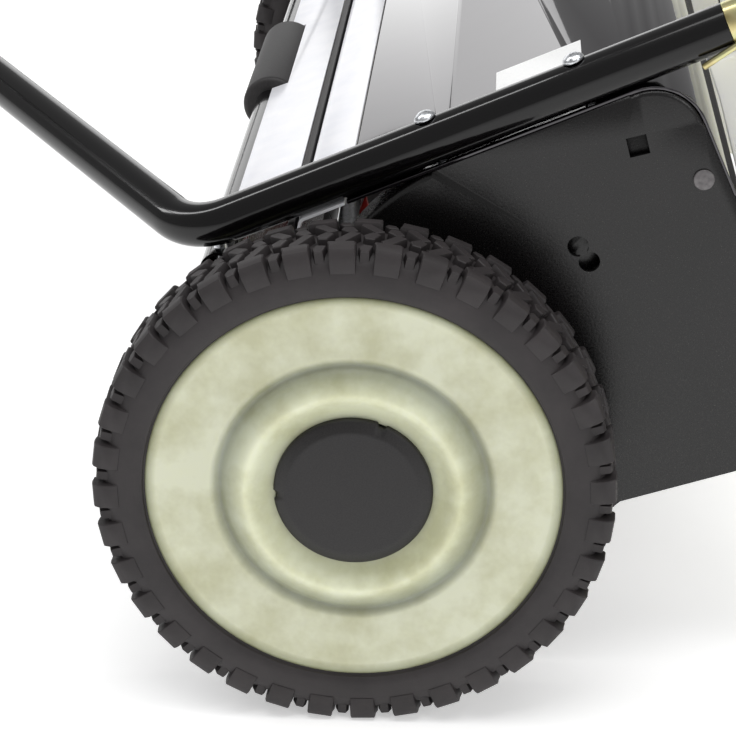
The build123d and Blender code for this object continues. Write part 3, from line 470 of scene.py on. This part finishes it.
CROSS_HALF = 336.0 * MM
cross = pipe("cross_tube_drawn", [Vector((CROSS_X, y, CROSS_Z)) for y in (-CROSS_HALF, 0, CROSS_HALF)],
             CROSS_R, CROSS_R - TUBE_WALL)
dress(cross, "rear_cross_tube", black_tube_enamel)
grip_rubber = soft_rubber("grip_rubber", ("#1b191a", "#2b2829"), 1.1 * MM)
GRIP_HALF, SLEEVE_R, SLEEVE_EDGE = 64.0 * MM, 17.0 * MM, 3 * MM
sleeve = [(CROSS_R, -GRIP_HALF), (SLEEVE_R - SLEEVE_EDGE, -GRIP_HALF)]
sleeve += [(SLEEVE_R - SLEEVE_EDGE * (1 - math.sin(a)), -GRIP_HALF + SLEEVE_EDGE * (1 - math.cos(a)))
           for a in (math.radians(15 * i) for i in range(1, 7))]
sleeve += [(r, -y) for r, y in reversed(sleeve)]
dress(turned("carry_grip_moulded", sleeve, CROSS_X, CROSS_Z), "carry_grip", grip_rubber)


# ---------------------------------------------------------------- catcher hooks
# Steel collars plugged in the tubes' front ends, each with a plate hook for the catcher.
# Yellow passivated zinc: brassy, with a slight rainbow cast.
def yellow_zinc():
    """Yellow passivate on zinc: warm brass colour drifting to pale green."""
    made, tree = material("yellow_passivated_zinc")
    place = add(tree, "TexCoord").outputs["Object"]
    drift = add(tree, "TexNoise", {"Vector": place, "Scale": 1 / (14 * MM), "Detail": 2.0})
    shade = add(tree, "ValToRGB", {"Fac": drift.outputs["Fac"]},
                stops=[(0.3, colour("#a2925a")), (0.5, colour("#d8cc98")), (0.75, colour("#c6d09a"))])
    finish_material(tree, Base_Color=shade.outputs["Color"], Metallic=1.0, Roughness=0.3)
    return made


dress(refined("catcher_hooks", 0.5 * MM), "catcher_hooks", yellow_zinc())


# ---------------------------------------------------------------- tyres
# Semi-pneumatic rubber tyre with a block tread: shoulder blocks run down the sidewall,
# and slanted lugs cross the crown. The rubber is charcoal; the paler rubber on the block edges and tops is a
# painted highlight.
TYRE_R = 127.0 * MM
AXLE_Z = TYRE_R
RIM_Y = 400.0 * MM
TYRE_HALF = 22.25 * MM
TYRE_MID = RIM_Y + 3.25 * MM - TYRE_HALF
PITCHES = 36
TREAD_DEEP = 4.2 * MM


def tyre_section():
    """Carcass under the tread, from one bead over the crown to the other: (radius, offset)."""
    half = [(100.2, 18.0), (101.8, 18.9), (102.2, 20.4), (103.8, 21.4), (106.5, 21.9), (110.0, 22.0),
            (113.5, 21.6), (116.5, 20.8), (119.0, 19.4), (121.0, 17.0), (122.0, 13.5), (122.6, 8.0),
            (122.8, 2.6)]
    half = [(r * MM, v * MM) for r, v in half]
    return half + [(r, -v) for r, v in reversed(half)]


def crown_radius(v):
    """Outer radius of the tread at an offset from the middle of the tyre."""
    return TYRE_R - 2.6 * MM * (abs(v) / TYRE_HALF) ** 2.4


def rubber_block(shape, outline, top, pitch_angle, edge=0.45 * MM, side=1):
    """One tread block: walls, a bevel and a top that follows the crown; bevel and top take the paler rubber,
    a painted highlight.
    """
    middle_u = sum(u for u, v in outline) / len(outline)
    middle_v = sum(v for u, v in outline) / len(outline)
    loops = []
    for grow, sink in ((0.5 * MM, TREAD_DEEP + 1.2 * MM), (0.0, edge), (-edge, 0.0)):
        loop = []
        for u, v in outline:
            away = Vector((u - middle_u, v - middle_v))
            away = away.normalized() * (away.length + grow)
            wide_u, wide_v = middle_u + away.x, middle_v + away.y
            radius = top(wide_v) - sink
            angle = pitch_angle + wide_u / TYRE_R
            loop.append(shape.verts.new((radius * math.cos(angle), side * (TYRE_MID + wide_v),
                                         AXLE_Z + radius * math.sin(angle))))
        loops.append(loop)
    count = len(outline)
    # Material 1 on the bevel and top faces is the paler rubber that paints the highlight on the block.
    for low, high, highlit in ((loops[0], loops[1], 0), (loops[1], loops[2], 1)):
        for i in range(count):
            n = (i + 1) % count
            face = shape.faces.new((low[i], low[n], high[n], high[i]))
            face.material_index = highlit
    shape.faces.new(loops[2]).material_index = 1


def shoulder_block(shape, start, wide, hand, pitch_angle, side):
    """Block that starts on the crown, rolls over the shoulder and runs down the sidewall."""
    section = [(125.6, 12.0), (127.0, 12.6), (127.0, 15.5), (126.8, 18.2), (126.0, 20.3), (123.8, 21.8),
               (120.2, 22.25), (116.2, 22.25), (114.0, 21.7)]
    floor_line = [(121.5, 11.4), (121.9, 12.0), (121.9, 15.0), (121.0, 17.0), (119.8, 18.6), (118.6, 19.6),
                  (116.8, 20.6), (114.6, 21.2), (112.9, 21.3)]
    edge = 0.5 * MM / TYRE_R
    first, last = pitch_angle + start / TYRE_R, pitch_angle + (start + wide) / TYRE_R
    columns = [(first - edge, floor_line), (first, None), (first + edge, section),
               (last - edge, section), (last, None), (last + edge, floor_line)]
    rows = []
    for i, ((r, v), (fr, fv)) in enumerate(zip(section, floor_line)):
        row = []
        for angle, line in columns:
            if line is section:
                radius, offset = r, v
            elif line is floor_line:
                radius, offset = fr, fv
            else:
                radius, offset = r + (fr - r) * 0.12, v + (fv - v) * 0.12
            lean = (angle - pitch_angle) + (0.008 if offset < 14 else 0.0) * (1 if angle > first else 0)
            turn = pitch_angle + lean
            row.append(shape.verts.new((radius * MM * math.cos(turn), side * (TYRE_MID + hand * offset * MM),
                                        AXLE_Z + radius * MM * math.sin(turn))))
        rows.append(row)
    for i in range(len(rows) - 1):
        for k in range(5):
            face = shape.faces.new((rows[i][k], rows[i][k + 1], rows[i + 1][k + 1], rows[i + 1][k]))
            # The crown rows of the block's top and edges take material 1, the painted highlight.
            face.material_index = 1 if 0 < k < 4 and i < 4 else 0
    low = [shape.verts.new((121.0 * MM * math.cos(a), side * (TYRE_MID + hand * 11.2 * MM),
                            AXLE_Z + 121.0 * MM * math.sin(a))) for a in (first, last)]
    shape.faces.new((rows[0][0], rows[0][1], low[0]))
    shape.faces.new((rows[0][1], rows[0][2], rows[0][3], rows[0][4], low[1], low[0]))
    shape.faces.new((rows[0][4], rows[0][5], low[1]))


def tyre(name, side):
    """Carcass turned about the axle, with shoulder blocks and lugs in two staggered halves."""
    shape = bmesh.new()
    section = tyre_section()
    around = 144
    rings = []
    for k in range(around):
        t = 2 * math.pi * k / around
        rings.append([shape.verts.new((r * math.cos(t), side * (TYRE_MID + v), AXLE_Z + r * math.sin(t)))
                      for r, v in section])
    for k in range(around):
        here, there = rings[k], rings[(k + 1) % around]
        for i in range(len(section)):
            n = (i + 1) % len(section)
            shape.faces.new((here[i], here[n], there[n], there[i]))
    long_lug = [(-3.0, 1.2), (1.2, -1.4), (8.6, 8.2), (8.2, 10.8), (4.2, 11.2)]
    short_lug = [(9.6, 0.8), (13.4, -1.6), (17.6, 2.6), (16.6, 6.6), (12.4, 7.0)]
    notch_lug = [(12.6, 12.2), (17.4, 11.2), (19.4, 14.4), (18.2, 18.2), (14.2, 18.0)]
    for hand in (1, -1):
        for p in range(PITCHES):
            angle = 2 * math.pi * (p + (0.5 if hand < 0 else 0.0)) / PITCHES
            shoulder_block(shape, -1.5 * MM, 12.6 * MM, hand, angle, side)
            for outline, sink in ((long_lug, 0.0), (short_lug, 0.15), (notch_lug, 0.9)):
                points = [(u * MM, hand * (v + 1.0) * MM) for u, v in outline]
                rubber_block(shape, points, lambda v: crown_radius(v) - sink * MM, angle, side=side)
    return smooth_object(name, shape, sharp=28)


def tyre_rubber(name, dark, light, roughness):
    """Tyre rubber: charcoal, matt, dusted unevenly and with a fine mould texture."""
    made, tree = material(name)
    place = add(tree, "TexCoord").outputs["Object"]
    dust = add(tree, "TexNoise", {"Vector": place, "Scale": 1 / (22 * MM), "Detail": 5.0, "Roughness": 0.65})
    grit = add(tree, "TexNoise", {"Vector": place, "Scale": 1 / (0.9 * MM), "Detail": 2.0})
    tone = add(tree, "ValToRGB", {"Fac": dust.outputs["Fac"]},
               stops=[(0.3, colour(dark)), (0.75, colour(light))])
    bump = add(tree, "Bump", {"Height": grit.outputs["Fac"], "Strength": 0.6, "Distance": 0.12 * MM})
    finish_material(tree, bump, Base_Color=tone.outputs["Color"], Roughness=roughness)
    return made


charcoal_rubber = tyre_rubber("charcoal_tyre_rubber", "#242021", "#332e2f", 0.6)
# The paler second rubber paints the highlight of light catching the block edges and tops.
painted_highlight_rubber = tyre_rubber("painted_highlight_tyre_rubber", "#48433f", "#6d6762", 0.5)
for name, side in SIDES.items():
    made = tyre(f"tyre_{name}_moulded", side)
    dress(made, f"tyre_{name}", charcoal_rubber)
    made.data.materials.append(painted_highlight_rubber)


# ---------------------------------------------------------------- wheel discs
# Injection moulded from unpigmented nylon: a flat face with one raised ring round the hub cap.
# The plastic is milky green-cream and cloudy inside; rings of painted highlight and painted shade follow the
# raised ring, its groove and the rim edge.
def ring_height(radius):
    """Height of the face in millimetres: a raised ring with a groove outside it."""
    crest = 6.0 * math.exp(-((radius - 52.0) / 6.5) ** 2)
    groove = -2.8 * math.exp(-((radius - 65.2) / 2.6) ** 2)
    return crest + groove - 2.6 + 1.6 * min(1.0, max(0.0, (radius - 40.2) / 24.0))


def disc_outline():
    wave = [(40.2 + 32.0 * i / 48, ring_height(40.2 + 32.0 * i / 48)) for i in range(49)]
    front = [(9.1, -12), (14, -12), (14, -16), (37.5, -16), (37.5, -3.1), (37.9, -2.6)]
    rim = [(84, -1), (95.6, -1), (96.8, -0.75), (97.8, -0.3), (98.9, 0.0), (100.1, 0.0), (100.9, -0.35),
           (101.3, -1.1), (101.3, -4), (100, -4), (100, -40), (97, -40), (97, -4)]
    back = [(r, d - 3) for r, d in reversed(wave[2:])]
    hub = [(40.4, -19), (14, -19), (14, -48), (9.1, -48)]
    return [(r * MM, RIM_Y + d * MM) for r, d in front + wave + rim + back + hub]


def natural_nylon():
    """Natural nylon: milky green-cream that lets light in, cloudy, with painted light by radius: a highlight
    on the ring's crest, shade in the groove, by the hub cap and on the rim edge.
    """
    made, tree = material("natural_nylon")
    place = add(tree, "TexCoord").outputs["Object"]
    flat = add(tree, "VectorMath", {0: place, 1: (1.0, 0.0, 1.0)}, operation="MULTIPLY")
    from_axle = add(tree, "VectorMath", {0: flat.outputs["Vector"], 1: (0.0, 0.0, AXLE_Z)},
                    operation="SUBTRACT")
    radius = add(tree, "VectorMath", {0: from_axle.outputs["Vector"]}, operation="LENGTH")
    band = add(tree, "MapRange", {"Value": radius.outputs["Value"], "From Min": 0.036, "From Max": 0.104})
    # These stops by radius are painted light: bright on the ring's crest, dark in the groove outside it,
    # darker in the dip by the hub cap and dark olive on the rounded rim edge.
    tone = add(tree, "ValToRGB", {"Fac": band.outputs["Result"]},
               stops=[(0.0, colour("#b4b79f")), (0.10, colour("#d0d3b4")), (0.24, colour("#f0f3d6")),
                      (0.36, colour("#b4b8a0")), (0.43, colour("#9fa392")), (0.50, colour("#dadcc4")),
                      (0.88, colour("#dfe1c8")), (0.93, colour("#b0b397")), (0.97, colour("#7c7f5c"))])
    cloud = add(tree, "TexNoise", {"Vector": place, "Scale": 1 / (26 * MM), "Detail": 4.0, "Roughness": 0.6})
    haze = add(tree, "ValToRGB", {"Fac": cloud.outputs["Fac"]},
               stops=[(0.32, colour("#e2e0d2")), (0.62, colour("#ffffff"))])
    layers = {"Fac": 1.0, "Color1": tone.outputs["Color"], "Color2": haze.outputs["Color"]}
    blend = add(tree, "MixRGB", layers, blend_type="MULTIPLY")
    skin = add(tree, "TexNoise", {"Vector": place, "Scale": 1 / (1.2 * MM), "Detail": 2.0})
    gloss = add(tree, "MapRange", {"Value": cloud.outputs["Fac"], "To Min": 0.34, "To Max": 0.5})
    bump = add(tree, "Bump", {"Height": skin.outputs["Fac"], "Strength": 0.3, "Distance": 0.06 * MM})
    finish_material(tree, bump, Base_Color=blend.outputs["Color"], Roughness=gloss.outputs["Result"],
                    Subsurface_Weight=0.25, Subsurface_Radius=(0.004, 0.004, 0.002), Subsurface_Scale=1.0)
    return made


nylon = natural_nylon()
for name, side in SIDES.items():
    disc = turned(f"wheel_disc_{name}_moulded", disc_outline(), 0, AXLE_Z, side, around=192)
    dress(disc, f"wheel_disc_{name}", nylon)
    dress(refined(f"ring_gear_{name}", 0.1 * MM), f"ring_gear_{name}", nylon)


# ---------------------------------------------------------------- hub caps
# Black polypropylene caps that snap into the disc and hide the axle clip.
# A fine spark texture on the mould leaves them dark and slightly velvety.
def cap_plastic():
    """Textured polypropylene: near black, broad soft highlights from a fine grain."""
    made, tree = material("black_polypropylene")
    place = add(tree, "TexCoord").outputs["Object"]
    grain = add(tree, "TexNoise", {"Vector": place, "Scale": 1 / (0.7 * MM), "Detail": 3.0})
    tone = add(tree, "ValToRGB", {"Fac": grain.outputs["Fac"]},
               stops=[(0.35, colour("#110f10")), (0.65, colour("#1e1b1c"))])
    bump = add(tree, "Bump", {"Height": grain.outputs["Fac"], "Strength": 0.7, "Distance": 0.12 * MM})
    finish_material(tree, bump, Base_Color=tone.outputs["Color"], Roughness=0.48)
    return made


black_polypropylene = cap_plastic()
TAB_ANGLES = (68, 184)
NOTCH_FROM_R, NOTCH_DEEP, NOTCH_HALF_ANGLE = 36.0 * MM, 1.6 * MM, 2.6
cap_line = [(0.01, -1), (0.01, 2.4), (31.5, 2.4), (32.6, 2.3), (33.4, 2.0), (36.8, 0.6), (37.8, 0.1),
            (38.4, -0.5), (38.6, -1.2), (38.6, -2.5), (37.4, -2.5), (37.4, -11), (35.4, -11), (35.4, -1)]
for name, side in SIDES.items():
    outline = [(r * MM, RIM_Y + d * MM) for r, d in cap_line]
    cap = turned(f"hub_cap_{name}_moulded", outline, 0, AXLE_Z, side, around=240)
    for vertex in cap.data.vertices:
        reach = math.hypot(vertex.co.x, vertex.co.z - AXLE_Z)
        bearing = math.degrees(math.atan2(vertex.co.z - AXLE_Z, vertex.co.x)) % 360
        if reach > NOTCH_FROM_R and any(abs(bearing - tab) < NOTCH_HALF_ANGLE for tab in TAB_ANGLES):
            vertex.co.x *= 1 - NOTCH_DEEP / reach
            vertex.co.z = AXLE_Z + (vertex.co.z - AXLE_Z) * (1 - NOTCH_DEEP / reach)
    dress(cap, f"hub_cap_{name}", black_polypropylene)


# ---------------------------------------------------------------- axles, bushes, gears and bearings
# Ground steel stub axles turn in oiled bronze bushes; sintered pinions mesh inside the wheels.
# Pressed housings carry the reel shaft, and thin black shields keep grass out of the gears; behind the
# plates' square and twin holes the shields are also painted shade for the dark inside.
def plain_metal(name, dark, light, roughness, grain, metallic=1.0):
    """Bare metal whose tone wanders a little between two shades."""
    made, tree = material(name)
    place = add(tree, "TexCoord").outputs["Object"]
    streak = add(tree, "TexNoise", {"Vector": place, "Scale": 1 / grain, "Detail": 4.0})
    tone = add(tree, "ValToRGB", {"Fac": streak.outputs["Fac"]},
               stops=[(0.3, colour(dark)), (0.7, colour(light))])
    bump = add(tree, "Bump", {"Height": streak.outputs["Fac"], "Strength": 0.3, "Distance": 0.05 * MM})
    finish_material(tree, bump, Base_Color=tone.outputs["Color"], Metallic=metallic, Roughness=roughness)
    return made


ground_steel = plain_metal("ground_steel", "#a8a9ab", "#c9cacc", 0.25, 1.2 * MM)
oiled_bronze = plain_metal("oiled_bronze", "#8a6a3c", "#b08c55", 0.4, 0.8 * MM)
sintered_steel = plain_metal("sintered_steel", "#4b4a4a", "#6a6969", 0.5, 0.6 * MM)
cast_iron_black = plain_metal("blackened_cast_iron", "#232222", "#343233", 0.55, 1.0 * MM, 0.4)
for node in ("axles", "reel_shaft", "roller_shaft", "drive_pawls", "roller_brackets"):
    dress(refined(node, 0.3 * MM), node, ground_steel)
for name in SIDES:
    dress(refined(f"wheel_bush_{name}", 0.2 * MM), f"wheel_bush_{name}", oiled_bronze)
    dress(refined(f"pinion_{name}", 0.08 * MM), f"pinion_{name}", sintered_steel)
dress(refined("reel_bearings", 0.6 * MM), "reel_bearings", cast_iron_black)
dress(refined("bed_bar", 0.8 * MM), "bed_bar", cast_iron_black)
# The black shields behind the side plates' square and twin holes are a dark sheet that paints the shade
# inside the mower.
dress(refined("dust_shields", 0.3 * MM), "dust_shields", black_powder_coat)


# ---------------------------------------------------------------- reel and bed knife
# Five hardened steel blades wind round red enamelled star discs and shear against the bed knife.
# The blades are bare ground steel, bright grey against the red discs.
red_enamel = plain_metal("red_enamel", "#7d1310", "#96201a", 0.3, 9.0 * MM, 0.0)
blade_steel = plain_metal("ground_blade_steel", "#8f9092", "#b7b8ba", 0.22, 2.0 * MM)
dress(refined("reel_spiders", 0.4 * MM), "reel_spiders", red_enamel)
dress(refined("reel_blades", 0.15 * MM, flat=0.01), "reel_blades", blade_steel)
dress(refined("bed_knife", 0.15 * MM), "bed_knife", blade_steel)


# ---------------------------------------------------------------- rear roller
# A hard black plastic tube on a steel shaft that sets the height of cut behind the reel.
# Shallow grooves are turned in it so that it rolls wet grass without sticking.
ROLLER_X, ROLLER_Z, ROLLER_R = -80.0 * MM, 25.0 * MM, 25.0 * MM
ROLLER_BORE, ROLLER_EDGE = 6.1 * MM, 1.5 * MM
GROOVE_STEP, GROOVE_DEEP = 40.0 * MM, 1.2 * MM
roller_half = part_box("rear_roller")[1].y
end_line = [(ROLLER_BORE, roller_half), (ROLLER_R - ROLLER_EDGE, roller_half),
            (ROLLER_R, roller_half - ROLLER_EDGE)]
line = [(r, -y) for r, y in end_line]
groove_at = -roller_half + GROOVE_STEP
while groove_at < roller_half - GROOVE_STEP / 2:
    line += [(ROLLER_R, groove_at - 2 * MM), (ROLLER_R - GROOVE_DEEP, groove_at - 1 * MM),
             (ROLLER_R - GROOVE_DEEP, groove_at + 1 * MM), (ROLLER_R, groove_at + 2 * MM)]
    groove_at += GROOVE_STEP
line += reversed(end_line)
dress(turned("rear_roller_turned", line, ROLLER_X, ROLLER_Z), "rear_roller", black_polypropylene)


# ---------------------------------------------------------------- yoke
# Two cast aluminium halves clamp the frame tubes side by side, under a welded steel clevis.
# The castings keep their sand texture; the clevis is enamelled like the tubes.
def sand_cast():
    """Sand cast aluminium: pale grey, pebbled and softly shiny."""
    made, tree = material("sand_cast_aluminium")
    place = add(tree, "TexCoord").outputs["Object"]
    pebble = add(tree, "TexNoise", {"Vector": place, "Scale": 1 / (1.6 * MM), "Detail": 5.0})
    tone = add(tree, "ValToRGB", {"Fac": pebble.outputs["Fac"]},
               stops=[(0.3, colour("#9c9da0")), (0.7, colour("#c3c4c7"))])
    bump = add(tree, "Bump", {"Height": pebble.outputs["Fac"], "Strength": 0.8, "Distance": 0.3 * MM})
    finish_material(tree, bump, Base_Color=tone.outputs["Color"], Metallic=1.0, Roughness=0.5)
    return made


cast_aluminium = sand_cast()
dress(refined("yoke_clamps", 2.0 * MM, segments=3), "yoke_clamps", cast_aluminium)
dress(refined("yoke_clevis", 0.6 * MM), "yoke_clevis", black_tube_enamel)
dress(refined("handle_tee", 1.2 * MM, segments=3), "handle_tee", cast_aluminium)


# ---------------------------------------------------------------- handle
# Two lengths of black enamelled tube plug together and are held by a bolt with a hand knob.
# A crossbar through a cast tee carries two ribbed rubber grips.
for node in ("handle_stem_lower", "handle_stem_upper", "handle_crossbar"):
    dress(refined(node, 0.3 * MM), node, black_tube_enamel)
dress(refined("stem_knob", 1.2 * MM, segments=3), "stem_knob", black_polypropylene)


def ribbed_grips():
    """Both grips as one piece: ribs, a thumb flange and a rounded closed end."""
    low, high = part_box("handle_grips")
    bar_x, bar_z = (low.x + high.x) / 2, (low.z + high.z) / 2
    flange_r, body_r, bore = (high.x - low.x) / 2, 16.0 * MM, 11.1 * MM
    start, end = 108.0 * MM, high.y
    outline = [(bore, start), (flange_r - 1 * MM, start), (flange_r, start + 1.5 * MM),
               (flange_r, start + 4.5 * MM), (flange_r - 1 * MM, start + 6 * MM)]
    ribs, first, last = 13, start + 12 * MM, end - 14 * MM
    for i in range(ribs):
        at = first + (last - first) * i / ribs
        outline += [(body_r - 1.4 * MM, at), (body_r, at + 1.8 * MM), (body_r, at + 5.2 * MM),
                    (body_r - 1.4 * MM, at + 7.0 * MM)]
    outline += [(body_r - 1 * MM, end - 6 * MM), (body_r - 3 * MM, end - 1.5 * MM), (body_r - 6 * MM, end),
                (0.05 * MM, end), (0.05 * MM, end - 7.9 * MM), (bore, end - 7.9 * MM)]
    right = turned("handle_grips_moulded", outline, bar_x, bar_z, -1)
    left = turned("handle_grip_twin", outline, bar_x, bar_z, 1)
    both = bmesh.new()
    both.from_mesh(right.data)
    both.from_mesh(left.data)
    both.to_mesh(right.data)
    both.free()
    bpy.data.objects.remove(left)
    return right


dress(ribbed_grips(), "handle_grips", grip_rubber)


# ---------------------------------------------------------------- catcher
# One rotationally moulded box of natural polyethylene that hangs in front of the reel.
# The rim is turned out for stiffness, and rounded ribs run round the sides and front.
def natural_polyethylene():
    """Natural polyethylene: waxy cream-grey, lit from within, greener where it is thick."""
    made, tree = material("natural_polyethylene")
    place = add(tree, "TexCoord").outputs["Object"]
    cloud = add(tree, "TexNoise", {"Vector": place, "Scale": 1 / (45 * MM), "Detail": 3.0})
    tone = add(tree, "ValToRGB", {"Fac": cloud.outputs["Fac"]},
               stops=[(0.3, colour("#f0f0ec")), (0.7, colour("#f4f4e6"))])
    skin = add(tree, "TexNoise", {"Vector": place, "Scale": 1 / (1.8 * MM), "Detail": 2.0})
    bump = add(tree, "Bump", {"Height": skin.outputs["Fac"], "Strength": 0.35, "Distance": 0.1 * MM})
    finish_material(tree, bump, Base_Color=tone.outputs["Color"], Roughness=0.42, Subsurface_Weight=0.2,
                    Subsurface_Radius=(0.004, 0.004, 0.003), Subsurface_Scale=1.0)
    return made


polyethylene = natural_polyethylene()
dress(refined("catcher_box", 0.9 * MM, segments=3), "catcher_box", polyethylene)
